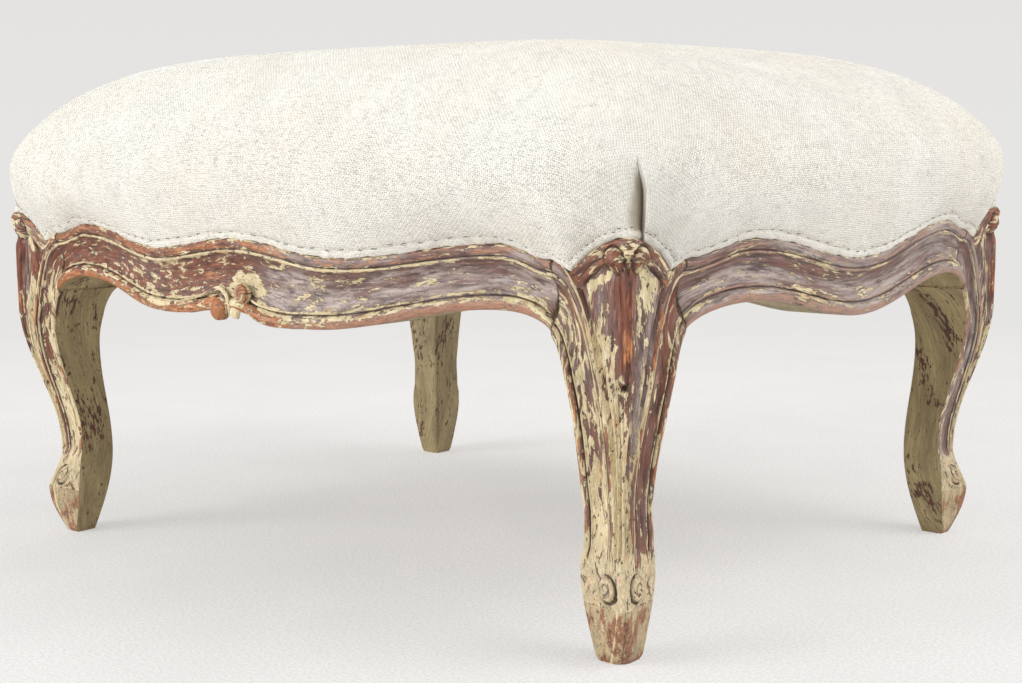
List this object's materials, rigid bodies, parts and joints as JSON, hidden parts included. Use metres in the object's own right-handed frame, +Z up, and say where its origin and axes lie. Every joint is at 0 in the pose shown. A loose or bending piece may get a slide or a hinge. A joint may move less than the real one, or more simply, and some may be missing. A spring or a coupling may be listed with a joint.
{
  "type": "footstool",
  "caption": "Low stool with carved cabriole legs, serpentine moulded rails in worn paint and a domed, stuffed seat in plain linen.",
  "frame": {"origin": "on the floor, under the middle of the stool", "axes": "+X along the long side, to the stool's right; +Y to its back; +Z up"},
  "size_m": [0.566, 0.494, 0.327],
  "materials": {
    "painted_beech": "old cream and brown paint, worn",
    "bare_beech": "unfinished",
    "jute_webbing": "woven",
    "hessian": "coarse plain weave",
    "horsehair": "matted hair",
    "wadding": "carded, soft",
    "linen": "plain weave, matt"
  },
  "bodies": {
    "root": {"leg_front_left": "painted_beech", "leg_front_right": "painted_beech", "leg_back_left": "painted_beech", "leg_back_right": "painted_beech", "rail_front": "painted_beech", "rail_back": "painted_beech", "rail_left": "painted_beech", "rail_right": "painted_beech", "pegs_front_left": "bare_beech", "pegs_front_right": "bare_beech", "pegs_back_left": "bare_beech", "pegs_back_right": "bare_beech", "strap_long_1": "jute_webbing", "strap_long_2": "jute_webbing", "strap_long_3": "jute_webbing", "strap_cross_1": "jute_webbing", "strap_cross_2": "jute_webbing", "strap_cross_3": "jute_webbing", "strap_cross_4": "jute_webbing", "base_cloth": "hessian", "first_stuffing": "horsehair", "top_stuffing": "wadding", "linen_cover": "linen"}
  },
  "joints": []
}
